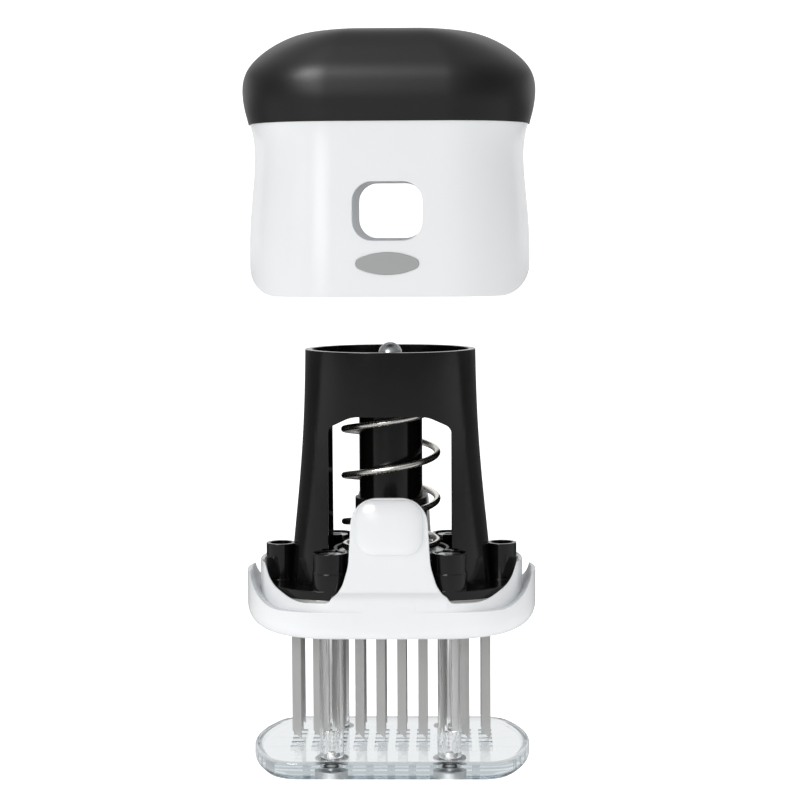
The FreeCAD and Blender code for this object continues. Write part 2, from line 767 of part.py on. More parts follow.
for corner, (x, y) in posts.items():
    rise = f"{BUSH_TOP} - {CARRIER} - bush_step"
    sleeve = cylinder(f"bush_{corner}_sleeve", "bush_radius", rise, x, y,
                      f"{CARRIER} + bush_step")
    bore = cylinder(f"bush_{corner}_bore", "post_radius + slide_gap", f"2 * ({rise})", x, y,
                    f"{CARRIER}")
    keep(cut(f"bush_{corner}", sleeve, [bore]), f"guide_bush_{corner}")

# --- blade carrier and the steel plate that clamps the blades into it --------------------------

carrier = new_body("BladeCarrier")
carrier_outline = new_sketch(carrier, "carrier_outline", level=CARRIER)
add_oval(carrier_outline, PACK_X, PACK_Y)
add_pad(carrier, carrier_outline, "carrier_thick")
blade_slot = new_sketch(carrier, "blade_slot", level=CARRIER)
add_slot(blade_slot, "blade_wide / 2 + seat_gap", "blade_thick / 2 + seat_gap")
add_pattern(carrier, [add_pocket(carrier, blade_slot)], blade_slot, grid=True)
head_slot = new_sketch(carrier, "head_slot", level=CLAMP)
add_slot(head_slot, "blade_head_wide / 2 + seat_gap", "0.9 * blade_thick + seat_gap")
add_pattern(carrier, [add_pocket(carrier, head_slot, "blade_head")], head_slot, grid=True)
for name, places, radius, level, depth in (
        ("post_holes", posts, "post_radius + fit_gap", CARRIER, "carrier_thick"),
        ("bush_seats", posts, "bush_radius + seat_gap", f"{CARRIER} + bush_step",
         "carrier_thick"),
        ("clamp_recesses", clamps, "screw_head_radius + fit_gap", CARRIER,
         "1.1 * screw_head"),
        ("clamp_holes", clamps, "screw_radius + fit_gap", CARRIER, "carrier_thick"),
        ("outer_pilots", outer, PILOT, f"{CARRIER} + bush_step", "carrier_thick")):
    circles = add_circles(carrier, name, places, radius, level)
    add_pocket(carrier, circles, depth, reverse=True)
keep(carrier, "blade_carrier")

clamp = new_body("ClampPlate")
clamp_outline = new_sketch(clamp, "clamp_outline", level=CLAMP)
add_oval(clamp_outline, PACK_X, PACK_Y)
add_pad(clamp, clamp_outline, "clamp_thick")
for name, places, radius in (
        ("clamp_bush_holes", posts, "bush_radius + seat_gap"),
        ("clamp_screw_holes", {**clamps, **outer}, "screw_radius + fit_gap")):
    add_pocket(clamp, add_circles(clamp, name, places, radius, CLAMP))
keep(clamp, "clamp_plate")

screws("carrier_screws", outer, f"({FLOOR} + outer_boss_floor)", "screw_head_radius",
       "screw_head", "head_screw_length", heads_up=True)
screws("clamp_screws", clamps, f"({CARRIER} + 0.1 * screw_head)", "screw_head_radius",
       "screw_head", "clamp_screw_length", heads_up=False)

# --- five rows of ten blades, headed at the top and ground to a chisel point, alternately ------

for row in range(int(measure("blade_rows"))):
    name = f"blade_row_{row + 1}"
    blades = new_body(f"BladeRow{row + 1}")
    blade = new_sketch(blades, f"{name}_blade", plane="XZ_Plane")
    x = "(-(blade_columns - 1) * column_pitch / 2)"
    left, right = f"{x} - blade_wide / 2", f"{x} + blade_wide / 2"
    tips = [(left, "blade_tip_level + blade_chisel", None), (right, "blade_tip_level", None)]
    if row % 2:
        tips = [(left, "blade_tip_level", None),
                (right, "blade_tip_level + blade_chisel", None)]
    add_outline(blade, tips + [(right, CLAMP, None), (left, CLAMP, None)])
    shank = add_pad(blades, blade, "blade_thick", symmetric=True)
    head = new_sketch(blades, f"{name}_head", plane="XZ_Plane")
    wide_left, wide_right = f"{x} - blade_head_wide / 2", f"{x} + blade_head_wide / 2"
    add_outline(head, [(wide_left, f"{CLAMP} - blade_head", None),
                       (wide_right, f"{CLAMP} - blade_head", None),
                       (wide_right, CLAMP, None), (wide_left, CLAMP, None)])
    shoulder = add_pad(blades, head, "1.8 * blade_thick", symmetric=True)
    add_pattern(blades, [shank, shoulder], blade, grid=False)
    bind(blades, "Placement.Base.y", f"({row} - (blade_rows - 1) / 2) * row_pitch")
    keep(blades, name)

# --- tower: hollow arch over the spring, with a deck, a hub and a raised rim -------------------

tower = new_body("Tower")


def tower_levels(wall, last):
    """Level and half sizes of the tower, drawn in by a wall, up to the last section."""
    levels = [(FLOOR, "tower_base_x", "tower_base_y"),
              (f"{FLOOR} + tower_low_rise", "tower_low_x", "tower_low_y"),
              (f"{FLOOR} + tower_mid_rise", "tower_mid_x", "tower_mid_y"),
              (DECK, "tower_deck_x", "tower_deck_y"),
              (RIM, "tower_rim_x", "tower_rim_y")]
    return [(z, f"{x} - {wall}", f"{y} - {wall}", "tower_flat") for z, x, y in levels[:last]]


add_loft(tower, oval_stack(tower, "tower_outside", tower_levels("0", 5), "tower_bulge"))
add_loft(tower, oval_stack(tower, "tower_inside", tower_levels("tower_wall", 4),
                           "tower_bulge"), "SubtractiveLoft")
tray = new_sketch(tower, "tray", level=RIM)
add_oval(tray, "tower_rim_x - tower_wall", "tower_rim_y - tower_wall",
         "tower_flat", "tower_bulge")
add_pocket(tower, tray, "tower_height - deck_rise - deck_thick")
middle = {"middle": ("0", "0")}
hub = add_circles(tower, "hub", middle, "hub_radius", DECK)
add_pad(tower, hub, "deck_thick + hub_rise")
add_pocket(tower, add_circles(tower, "hub_hole", middle, "dome_shank_radius + fit_gap", DECK))
arch = new_sketch(tower, "arch", plane="XZ_Plane")
add_outline(arch, [
    ("-arch_half", BASE, None),
    ("arch_half", BASE, None),
    ("arch_half", f"{FLOOR} + arch_shoulder_rise", "arch_shoulder_radius"),
    ("arch_crown_half", f"{FLOOR} + arch_rise", "arch_crown_radius"),
    ("-arch_crown_half", f"{FLOOR} + arch_rise", "arch_crown_radius"),
    ("-arch_half", f"{FLOOR} + arch_shoulder_rise", "arch_shoulder_radius"),
])
add_pocket(tower, arch)
notches = add_circles(tower, "notches", posts, "boss_foot_radius + 1.5 * fit_gap", FLOOR)
add_pocket(tower, notches, "boss_rise + fit_gap", reverse=True)
outer_notches = add_circles(tower, "outer_notches", outer, "outer_boss_radius + seat_gap", FLOOR)
add_pocket(tower, outer_notches, "boss_rise + fit_gap", reverse=True)
keep(tower, "tower_frame")

tube_high = f"{DECK} - {TUBE_FOOT}"
keep(cut("tube", cylinder("tube_outside", "tube_radius", tube_high, level=TUBE_FOOT),
         [cylinder("tube_inside", "tube_bore", f"{tube_high} - tube_plug + 1",
                   level=f"{TUBE_FOOT} - 1"),
          cylinder("tube_pilot", "dome_shank_radius + seat_gap", "3 * tube_plug",
                   level=f"{DECK} - 2 * tube_plug")]), "guide_tube")

keep(cut("seal", cylinder("seal_disc", "top_washer_radius", "washer_thick", level=HUB),
         [cylinder("seal_hole", "dome_shank_radius + seat_gap", "3 * washer_thick",
                   level=f"{HUB} - washer_thick")]), "top_washer")

DOME_FOOT = f"({HUB} + washer_thick)"
dome_ball = doc.addObject("Part::Sphere", "dome_ball")
dome_ball.Angle1 = 0
bind(dome_ball, "Radius", "dome_radius")
bind(dome_ball, "Placement.Base.z", f"{DOME_FOOT} + dome_height - dome_radius")
keep(fuse("dome_bolt", [
    dome_ball,
    cylinder("dome_hexagon", "dome_radius", "dome_height - dome_radius", level=DOME_FOOT),
    cylinder("dome_stem", "dome_shank_radius", "dome_shank", level=f"{DOME_FOOT} - dome_shank"),
]), "dome_screw")

# --- spring: closed end coils and open coils between the cup and the deck ----------------------


def coil_point(turn):
    """The middle of the wire after so many turns: the end coils close, the others stay open."""
    closed = min(turn, 1) + max(turn - turns - 1, 0)
    level = spring_low + wire * closed + open_pitch * min(max(turn - 1, 0), turns)
    angle = math.radians(measure("spring_start_angle") + 360 * turn)
    radius = measure("spring_radius")
    return FreeCAD.Vector(radius * math.cos(angle), radius * math.sin(angle), level)


wire = measure("spring_wire")
turns = measure("spring_turns")
spring_low = measure(f"{CUP} + washer_thick + spring_wire / 2")
spring_high = measure(f"{DECK} - spring_wire / 2")
open_pitch = (spring_high - spring_low - 2 * wire) / turns
# A smooth curve through eight points a turn; it eases past the two points where the pitch changes.
steps = round(8 * (turns + 2))
coil_turns = [(turns + 2) * step / steps for step in range(steps + 1)]
coil = Part.BSplineCurve()
coil.interpolate([coil_point(turn) for turn in coil_turns
                  if min(abs(turn - 1), abs(turn - turns - 1)) > 0.1])
spring_path = doc.addObject("Part::Feature", "SpringPath")
spring_path.Shape = Part.Wire([coil.toShape()])
section = doc.addObject("Part::Circle", "spring_section")
bind(section, "Radius", "spring_wire / 2")
facing = FreeCAD.Rotation(FreeCAD.Vector(0, 0, 1), measure("spring_start_angle"))
upright = FreeCAD.Rotation(FreeCAD.Vector(1, 0, 0), 90)
section.Placement = FreeCAD.Placement(coil_point(0), facing * upright)
spring = doc.addObject("Part::Sweep", "Spring")
spring.Sections = [section]
spring.Spine = (spring_path, [])
spring.Solid = True
spring.Frenet = True
keep(spring, "spring")

# --- latches: a sprung tongue at the front and back of the collar, each with its button --------

for side, turn in (("front", 0), ("back", 180)):
    latch = new_body(f"Latch_{side}")
    tongue = new_sketch(latch, f"tongue_{side}", plane="XZ_Plane",
                        level=f"{WALL_Y} - latch_thick")
    flare, tip = f"{HEAD} + latch_flare_rise", f"{HEAD} + latch_tip_rise"
    add_outline(tongue, [
        ("-latch_root_half", LATCH_FOOT, None),
        ("latch_root_half", LATCH_FOOT, None),
        ("latch_flare_half", flare, "latch_flare_radius"),
        ("latch_waist_half", LATCH_WAIST, "latch_waist_radius"),
        ("latch_tip_half", tip, "latch_tip_radius"),
        ("-latch_tip_half", tip, "latch_tip_radius"),
        ("-latch_waist_half", LATCH_WAIST, "latch_waist_radius"),
        ("-latch_flare_half", flare, "latch_flare_radius"),
    ])
    add_pad(latch, tongue, "latch_thick")
    at_foot = lies_at_height(LATCH_FOOT)
    add_fillet(latch, "latch_foot_round", lambda edge: at_foot(edge) and edge.Length > 10)
    button = new_sketch(latch, f"button_{side}", plane="XZ_Plane", level=WALL_Y)
    low, high = f"{BUTTON} - button_half_z", f"{BUTTON} + button_half_z"
    add_outline(button, [
        ("-button_half_x", low, "button_corner"),
        ("button_half_x", low, "button_corner"),
        ("button_half_x", high, "button_corner"),
        ("-button_half_x", high, "button_corner"),
    ])
    add_pad(latch, button, "button_proud")
    face = -measure(f"{WALL_Y} + button_proud")
    add_fillet(latch, "button_round", lambda edge: abs(edge.BoundBox.YMax - face) < 1e-4)
    latch.Placement.Rotation = FreeCAD.Rotation(FreeCAD.Vector(0, 0, 1), turn)
    keep(latch, f"latch_{side}")

# --- cover: white shell with a window for each button, open below and for the tower ------------


def shell_levels(inset, top):
    """Level and half sizes of the cover's shell, drawn in by an inset."""
    levels = [(SHELL, "shell_foot_x", "shell_foot_y"),
              (f"{SHELL} + shell_belly_rise", "shell_belly_x", "shell_belly_y"),
              (f"{SHELL} + shell_mid_rise", "shell_mid_x", "shell_mid_y"),
              (f"{SHELL} + shell_neck_rise", "shell_neck_x", "shell_neck_y"),
              (f"{SEAM} - {top}", "shell_top_x", "shell_top_y")]
    return [(z, f"{x} - {inset}", f"{y} - {inset}", "outline_flat") for z, x, y in levels]


WINDOW = f"({SHELL} + button_rise - seat_rise)"
BADGE_FLOOR = "(shell_belly_y - badge_depth)"
cap_posts = four("cap_screw_x", "cap_screw_y")

shell = new_body("CoverShell")
add_loft(shell, oval_stack(shell, "shell_outside", shell_levels("0", "0")))
add_loft(shell, oval_stack(shell, "shell_inside", shell_levels("shell_wall", "shell_roof")),
         "SubtractiveLoft")
well = new_sketch(shell, "shell_well", level=SEAM)
add_oval(well, "tower_mid_x + well_gap", WELL_Y, "tower_flat", "tower_bulge")
add_pocket(shell, well, "2 * shell_roof")
window = new_sketch(shell, "window", plane="XZ_Plane")
window_x = "(button_half_x + window_gap)"
window_z = "(button_half_z + window_gap)"
add_outline(window, [
    (f"-{window_x}", f"{WINDOW} - {window_z}", "button_corner + window_gap"),
    (window_x, f"{WINDOW} - {window_z}", "button_corner + window_gap"),
    (window_x, f"{WINDOW} + {window_z}", "button_corner + window_gap"),
    (f"-{window_x}", f"{WINDOW} + {window_z}", "button_corner + window_gap"),
])
add_pocket(shell, window)
recess = new_sketch(shell, "badge_recess", plane="XZ_Plane", level=BADGE_FLOOR,
                    up=f"{SHELL} + badge_rise")
add_oval(recess, "badge_half_x", "badge_half_z", "badge_flat", "badge_bulge")
add_pocket(shell, recess, "2 * badge_depth", reverse=True)
cap_holes = add_circles(shell, "cap_holes", cap_posts, "screw_radius + fit_gap", SEAM)
add_pocket(shell, cap_holes, "2 * shell_roof")
round_corners(shell, "shell_corners", "(shell_belly_x + corner_ease)", SHELL, f"{SEAM} + 1")
keep(shell, "cover_shell")

badge = new_body("Badge")
badge_face = new_sketch(badge, "badge_face", plane="XZ_Plane", level=BADGE_FLOOR,
                        up=f"{SHELL} + badge_rise")
add_oval(badge_face, "badge_half_x - seat_gap", "badge_half_z - seat_gap",
         "badge_flat", "badge_bulge")
add_pad(badge, badge_face, "badge_depth + badge_proud")
keep(badge, "badge")

# --- soft cap over a stiff core, which four screws hold to the shell's roof --------------------


def cap_levels(inset, drop, last):
    """Level and half sizes of the cap, drawn in by an inset, the last section lowered by drop."""
    levels = [("cap_seam", "0"), ("cap_belly", "cap_belly_rise"),
              ("cap_shoulder", f"cap_shoulder_rise - {drop}"), ("cap_brow", "cap_brow_rise"),
              ("cap_crown", "cap_crown_rise"), ("cap_top", "cap_height")]
    return [(f"{SEAM} + {rise}", f"{name}_x - {inset}", f"{name}_y - {inset}",
             f"cap_flatness * ({name}_x - {inset})") for name, rise in levels[:last]]


CORE_INSET = "(cap_skin + 2 * seat_gap)"
core = new_body("CapCore")
add_loft(core, oval_stack(core, "core_outside", cap_levels(CORE_INSET, "2 * seat_gap", 3)))
add_loft(core, oval_stack(core, "core_inside", cap_levels(f"({CORE_INSET} + core_wall)",
                                                          "core_wall", 3)), "SubtractiveLoft")
core_posts = add_circles(core, "core_posts", cap_posts, "cap_post_radius", SEAM)
add_pad(core, core_posts, "cap_shoulder_rise - core_wall / 2")
core_pilots = add_circles(core, "core_pilots", cap_posts, PILOT, SEAM)
add_pocket(core, core_pilots, "1.2 * cap_screw_length", reverse=True)
core_well = new_sketch(core, "core_well", level=SEAM)
add_oval(core_well, HEAD_GAP, WELL_Y, "tower_flat", "tower_bulge")
add_pocket(core, core_well, "cap_height", reverse=True)
keep(core, "cap_core")

screws("cap_screws", cap_posts, f"({SEAM} - shell_roof - screw_head)", "screw_head_radius",
       "screw_head", "cap_screw_length", heads_up=False)

cap = new_body("SoftCap")
add_loft(cap, oval_stack(cap, "cap_outside", cap_levels("0", "0", 6)))
add_loft(cap, oval_stack(cap, "cap_inside", cap_levels("cap_skin", "0", 3)), "SubtractiveLoft")
cap_well = new_sketch(cap, "cap_well", level=SEAM)
add_oval(cap_well, HEAD_GAP, WELL_Y, "tower_flat", "tower_bulge")
add_pocket(cap, cap_well, f"{RIM} + cover_lift + fit_gap - {SEAM}", reverse=True)
dimple = add_circles(cap, "cap_dimple", middle, "dome_radius + well_gap", SEAM)
add_pocket(cap, dimple, f"{DOME_FOOT} + dome_height + cover_lift + fit_gap - {SEAM}",
           reverse=True)
keep(cap, "soft_cap")

# --- checks and export ------------------------------------------------------------------------

doc.recompute()
broken = [f"{thing.Name}: {thing.State}" for thing in doc.Objects
          if "Invalid" in thing.State or "Error" in thing.State]
broken += [f"{thing.Label}: bad shape" for thing in nodes
           if thing.Shape.isNull() or not thing.Shape.isValid() or not thing.Shape.Solids]
loose = [thing.Name for thing in doc.Objects
         if thing.TypeId == "Sketcher::SketchObject" and thing.solve() != 0]
if broken or loose:
    raise RuntimeError("; ".join(broken + loose))

os.makedirs("parts", exist_ok=True)
for thing in nodes:
    thing.Shape.exportStep(f"parts/{thing.Label}.step")
    box = thing.Shape.optimalBoundingBox(False)
    print(f"{thing.Label}: {len(thing.Shape.Solids)} solids, {thing.Shape.Volume:.0f} mm3, "
          f"x {box.XMin:.1f} {box.XMax:.1f} y {box.YMin:.1f} {box.YMax:.1f} "
          f"z {box.ZMin:.1f} {box.ZMax:.1f}")
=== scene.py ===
import math

import bpy
import numpy as np
from mathutils import Matrix, Vector


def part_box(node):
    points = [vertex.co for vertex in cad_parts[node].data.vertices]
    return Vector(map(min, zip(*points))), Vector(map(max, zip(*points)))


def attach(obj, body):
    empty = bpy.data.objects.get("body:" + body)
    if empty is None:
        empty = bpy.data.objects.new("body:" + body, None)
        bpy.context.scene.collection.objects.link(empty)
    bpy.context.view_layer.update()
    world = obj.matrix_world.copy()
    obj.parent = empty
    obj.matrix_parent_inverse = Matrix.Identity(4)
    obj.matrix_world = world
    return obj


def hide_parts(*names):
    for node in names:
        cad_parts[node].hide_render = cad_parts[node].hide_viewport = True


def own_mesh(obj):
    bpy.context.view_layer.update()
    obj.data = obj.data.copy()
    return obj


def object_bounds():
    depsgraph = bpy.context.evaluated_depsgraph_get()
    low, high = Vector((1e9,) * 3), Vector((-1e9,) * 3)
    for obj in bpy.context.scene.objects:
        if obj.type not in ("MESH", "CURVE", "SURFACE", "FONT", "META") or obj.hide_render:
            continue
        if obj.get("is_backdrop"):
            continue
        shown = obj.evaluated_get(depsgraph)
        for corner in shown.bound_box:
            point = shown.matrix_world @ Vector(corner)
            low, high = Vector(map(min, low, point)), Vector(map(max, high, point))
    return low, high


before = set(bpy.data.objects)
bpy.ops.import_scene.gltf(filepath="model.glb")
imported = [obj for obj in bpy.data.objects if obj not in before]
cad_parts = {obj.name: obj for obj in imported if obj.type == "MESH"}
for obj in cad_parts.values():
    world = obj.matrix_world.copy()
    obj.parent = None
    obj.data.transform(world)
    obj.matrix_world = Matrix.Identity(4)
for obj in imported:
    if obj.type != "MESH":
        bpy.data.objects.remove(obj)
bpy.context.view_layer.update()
scene = bpy.context.scene
scene.view_settings.view_transform = "Standard"

# --- Studio ------------------------------------------------------------------------------
# The tool stands on a sweep of white paper, lit as a small product is on a shooting table: by a
# large soft box on the left, a weaker one on the right and a broad fill in front.


def linear(code):
    """An sRGB hex colour as linear red, green, blue and alpha: each channel c is c / 12.92 up to
    0.04045, and ((c + 0.055) / 1.055) ^ 2.4 above it."""
    channels = [int(code[i:i + 2], 16) / 255 for i in (1, 3, 5)]
    return [c / 12.92 if c <= 0.04045 else ((c + 0.055) / 1.055) ** 2.4 for c in channels] + [1.0]


def add_node(tree, kind, settings=None, **links):
    """One node with its settings. A link names a socket, with _ for a space, or gives its number
    after an i, and holds a (node, output) pair to connect or a plain value to set."""
    node = tree.nodes.new(kind)
    for name, value in (settings or {}).items():
        setattr(node, name, value)
    for name, value in links.items():
        key = int(name[1:]) if name[0] == "i" and name[1:].isdigit() else name.replace("_", " ")
        socket = node.inputs[key]
        if isinstance(value, tuple) and isinstance(value[0], bpy.types.Node):
            tree.links.new(value[0].outputs[value[1]], socket)
        else:
            socket.default_value = value
    return node


def by_ray(tree, plain, mirrored, through, seen):
    """One strength for each kind of ray: plain for those that light the tool, mirrored for those
    that gloss throws back, through for those that clear plastic lets pass, seen for the lens."""
    path = add_node(tree, "ShaderNodeLightPath")
    chosen = plain
    for kind, strength in (("Is Glossy Ray", mirrored), ("Is Transmission Ray", through),
                           ("Is Camera Ray", seen)):
        node = add_node(tree, "ShaderNodeMix", i0=(path, kind), i2=chosen, i3=strength)
        chosen = (node, 0)
    return chosen


def fade(tree, value, start, end, low, high):
    """A smooth step: low up to start, high from end on."""
    return (add_node(tree, "ShaderNodeMapRange", {"interpolation_type": "SMOOTHSTEP"}, Value=value,
                     From_Min=start, From_Max=end, To_Min=low, To_Max=high), 0)


def times(tree, one, other):
    """The product of two numbers."""
    return (add_node(tree, "ShaderNodeMath", {"operation": "MULTIPLY"}, i0=one, i1=other), 0)


def sideways(tree, value):
    """A distance without its sign."""
    return (add_node(tree, "ShaderNodeMath", {"operation": "ABSOLUTE"}, i0=value), 0)


# The room, by direction.  Gloss meets it dark in front and at the flanks and brighter overhead,
# and clear plastic shows it dimmer at the flanks, so that black and clear parts both keep edges.
world = bpy.data.worlds.new("studio")
world.use_nodes = True
scene.world = world
tree = world.node_tree
tree.nodes.clear()
look = add_node(tree, "ShaderNodeTexCoord")
axes = add_node(tree, "ShaderNodeSeparateXYZ", Vector=(look, "Generated"))
front = fade(tree, (axes, "Y"), -0.5, 0.3, 0.21, 0.44)
overhead = fade(tree, (axes, "Z"), 0.15, 0.5, 1.0, 2.4)
flanks = fade(tree, sideways(tree, (axes, "X")), 0.3, 0.8, 1.0, 0.45)
mirrored = times(tree, times(tree, front, overhead), flanks)
through = fade(tree, sideways(tree, (axes, "X")), 0.1, 0.6, 1.0, 0.3)
strength = by_ray(tree, 0.40, mirrored, through, 1.0)
sky = add_node(tree, "ShaderNodeBackground", Color=[1, 1, 1, 1], Strength=strength)
add_node(tree, "ShaderNodeOutputWorld", Surface=(sky, 0))

# The soft boxes: each has a place, the height on the tool's axis that it faces, a size, watts,
# and whether it is there for gloss alone, where it leaves a patch, or for light alone.
for name, place, height, spread, watts, gloss_only in (
        ("key_box", (-0.85, -0.8, 0.55), 0.14, (0.6, 0.8), 4.7, False),
        ("side_box", (1.0, -0.25, 0.35), 0.14, (0.6, 0.9), 1.3, False),
        ("patch_box", (-0.36, -1.15, 0.3), 0.22, (0.4, 0.34), 1.3, True),
        ("high_box", (-0.42, -0.76, 0.72), 0.25, (0.46, 0.52), 9.5, True),
        ("front_fill", (0.1, -1.6, 0.3), 0.12, (1.2, 0.8), 5.0, False)):
    lamp = bpy.data.lights.new(name, "AREA")
    lamp.shape = "RECTANGLE"
    lamp.size, lamp.size_y = spread
    lamp.energy = watts
    holder = bpy.data.objects.new(name, lamp)
    holder.location = place
    facing = Vector((0, 0, height)) - Vector(place)
    holder.rotation_euler = facing.to_track_quat("-Z", "Y").to_euler()
    holder.visible_glossy = gloss_only
    holder.visible_diffuse = not gloss_only
    scene.collection.objects.link(holder)


def grid_faces(rows, columns, around=False):
    """Quads between neighbouring points of a grid: point (i, j) joins (i, j+1), (i+1, j+1) and
    (i+1, j), and the last column joins the first where the grid goes around."""
    i, j = np.meshgrid(np.arange(rows - 1), np.arange(columns - (not around)), indexing="ij")
    ahead = (j + 1) % columns
    return np.stack([i * columns + j, i * columns + ahead,
                     (i + 1) * columns + ahead, (i + 1) * columns + j], -1).reshape(-1, 4)


def add_mesh(name, points, *faces, crisp=40):
    """A smooth mesh object at the origin, from points in metres and arrays of equal faces, turned
    outwards where their volume comes out below nothing.  Edges that fold by more than crisp
    degrees stay sharp."""
    mesh = bpy.data.meshes.new(name)
    points = np.asarray(points, np.float32).reshape(-1, 3)
    triangles = np.concatenate([part[:, [0, k, k + 1]] for part in faces
                                for k in range(1, part.shape[1] - 1)])
    first, second, third = (points[triangles[:, i]] for i in range(3))
    if np.sum(first * np.cross(second, third)) < 0:
        faces = [part[:, ::-1] for part in faces]
    corners = np.concatenate([part.ravel() for part in faces]).astype(np.int32)
    sides = np.concatenate([np.full(len(part), part.shape[1]) for part in faces])
    mesh.vertices.add(len(points))
    mesh.vertices.foreach_set("co", points.ravel())
    mesh.loops.add(len(corners))
    mesh.loops.foreach_set("vertex_index", corners)
    mesh.polygons.add(len(sides))
    mesh.polygons.foreach_set("loop_start", (np.cumsum(sides) - sides).astype(np.int32))
    mesh.polygons.foreach_set("use_smooth", np.ones(len(sides), bool))
    mesh.update(calc_edges=True)
    mesh.validate()
    mesh.set_sharp_from_angle(angle=math.radians(crisp))
    piece = bpy.data.objects.new(name, mesh)
    scene.collection.objects.link(piece)
    return piece


# The sweep lies flat from its near edge to the bend, and curves up behind the tool.
NEAR, BEND, CURVE, HALF_WIDE, FLAT_ROWS = -2.2, 1.2, 0.8, 2.5, 30
bend = np.linspace(0, 1.5, 20)[1:]
sweep_y = np.concatenate([np.linspace(NEAR, BEND, FLAT_ROWS), BEND + CURVE * np.sin(bend)])
sweep_z = np.concatenate([np.zeros(FLAT_ROWS), CURVE - CURVE * np.cos(bend)])
across, along = np.meshgrid(np.linspace(-HALF_WIDE, HALF_WIDE, 12), np.arange(len(sweep_y)))
sheet = np.stack([across, sweep_y[along], sweep_z[along]], -1)
floor = add_mesh("floor", sheet, grid_faces(*across.shape))

# White paper, by place in metres: to gloss it is dim near the lens and behind the tool and bright
# where it rises, and through clear plastic it darkens beside and just behind the foot.
paper = bpy.data.materials.new("white_paper_sweep")
paper.use_nodes = True
tree = paper.node_tree
tree.nodes.clear()
place = add_node(tree, "ShaderNodeTexCoord")
axes = add_node(tree, "ShaderNodeSeparateXYZ", Vector=(place, "Object"))
near = fade(tree, (axes, "Y"), -1.0, -0.25, 0.26, 0.62)
behind = fade(tree, (axes, "Y"), 0.02, 0.3, 1.0, 0.16)
risen = fade(tree, (axes, "Z"), 0.06, 0.15, 1.0, 9.0)
mirrored = times(tree, times(tree, near, behind), risen)
beside = fade(tree, sideways(tree, (axes, "X")), 0.05, 0.16, 0.97, 0.36)
past_foot = fade(tree, (axes, "Y"), 0.03, 0.045, 1.0, 0.45)
farther = fade(tree, (axes, "Y"), 0.14, 0.26, 1.0, 2.2)
through = times(tree, beside, times(tree, past_foot, farther))
plain = fade(tree, sideways(tree, (axes, "Y")), 0.08, 0.4, 1.1, 0.66)
strength = by_ray(tree, plain, mirrored, through, 0.9)
lit = add_node(tree, "ShaderNodeEmission", Color=[1, 1, 1, 1], Strength=strength)
path = add_node(tree, "ShaderNodeLightPath")
matt = add_node(tree, "ShaderNodeBsdfDiffuse", Color=linear("#F2F2F2"), Roughness=0.6)
table = add_node(tree, "ShaderNodeAddShader", i0=(matt, 0), i1=(lit, 0))
mix = add_node(tree, "ShaderNodeMixShader", Fac=(path, "Is Camera Ray"), i1=(lit, 0), i2=(table, 0))
add_node(tree, "ShaderNodeOutputMaterial", Surface=(mix, 0))
floor.data.materials.append(paper)
floor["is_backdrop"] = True

# --- Foot plate and posts ----------------------------------------------------------------
# One clear plate with a slot under every blade, and four clear posts pushed into its corners.
# The plate is moulded from acrylic and the posts are cut from extruded acrylic rod.


def new_finish(name, **values):
    """A material with one Principled shader, whose even values are set on its sockets."""
    finish = bpy.data.materials.new(name)
    finish.use_nodes = True
    shader = finish.node_tree.nodes["Principled BSDF"]
    for key, value in values.items():
        shader.inputs[key.replace("_", " ")].default_value = value
    return finish, finish.node_tree, shader


def grain(tree, shader, size, depth, stretch=(1, 1, 1), edge=0.0):
    """Bump from noise on object coordinates, each grain about size millimetres across and depth
    millimetres high, over edges that look rounded by edge millimetres."""
    place = add_node(tree, "ShaderNodeTexCoord")
    spread = add_node(tree, "ShaderNodeMapping", Vector=(place, "Object"),
                      Scale=[1 / factor for factor in stretch])
    noise = add_node(tree, "ShaderNodeTexNoise", Vector=(spread, 0), Scale=1000 / size, Detail=2.0)
    bump = add_node(tree, "ShaderNodeBump", Height=(noise, 0), Strength=1.0, Distance=depth / 1000)
    if edge:
        bevel = add_node(tree, "ShaderNodeBevel", {"samples": 6}, Radius=edge / 1000)
        tree.links.new(bevel.outputs[0], bump.inputs["Normal"])
    tree.links.new(bump.outputs[0], shader.inputs["Normal"])
    return noise


def vary(tree, shader, socket, noise, low, high):
    """Sends noise to one socket of the shader, from low to high."""
    span = add_node(tree, "ShaderNodeMapRange", Value=(noise, 0), To_Min=low, To_Max=high)
    tree.links.new(span.outputs[0], shader.inputs[socket])


def dress(finish, *names):
    """Puts one finish on every material slot of carried-over nodes."""
    for name in names:
        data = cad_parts[name].data
        if not data.materials:
            data.materials.append(finish)
        for slot in range(len(data.materials)):
            data.materials[slot] = finish


CORNERS = ("front_left", "front_right", "back_left", "back_right")

# Acrylic is as clear as glass.  The moulded plate has a faint wide ripple and goes a cool grey
# through its depth.  The rods have fine upright draw lines, drawn coarse enough to show, which
# break up what is seen through them into bright and dark streaks.
for name, lines, rough, density, pieces in (
        ("clear_moulded_acrylic", (9.0, 0.02, (1, 1, 1)), (0.01, 0.03), 80.0, ["foot_plate"]),
        ("clear_extruded_acrylic", (1.1, 0.16, (1, 1, 60)), (0.02, 0.06), 6.0,
         [f"post_{corner}" for corner in CORNERS])):
    acrylic, tree, shader = new_finish(name, Base_Color=linear("#FFFFFF"),
                                       Transmission_Weight=1.0, IOR=1.49)
    vary(tree, shader, "Roughness", grain(tree, shader, *lines), *rough)
    tint = add_node(tree, "ShaderNodeVolumeAbsorption", Color=linear("#E6ECEF"), Density=density)
    tree.links.new(tint.outputs[0], tree.nodes["Material Output"].inputs["Volume"])
    dress(acrylic, *pieces)

# --- Screws ------------------------------------------------------------------------------
# Steel screws with hexagon sockets.  Four come up through the foot into the posts, and their wide
# heads show in the clear plate; the rest hold the slider, the blade pack, the tower and the cap.

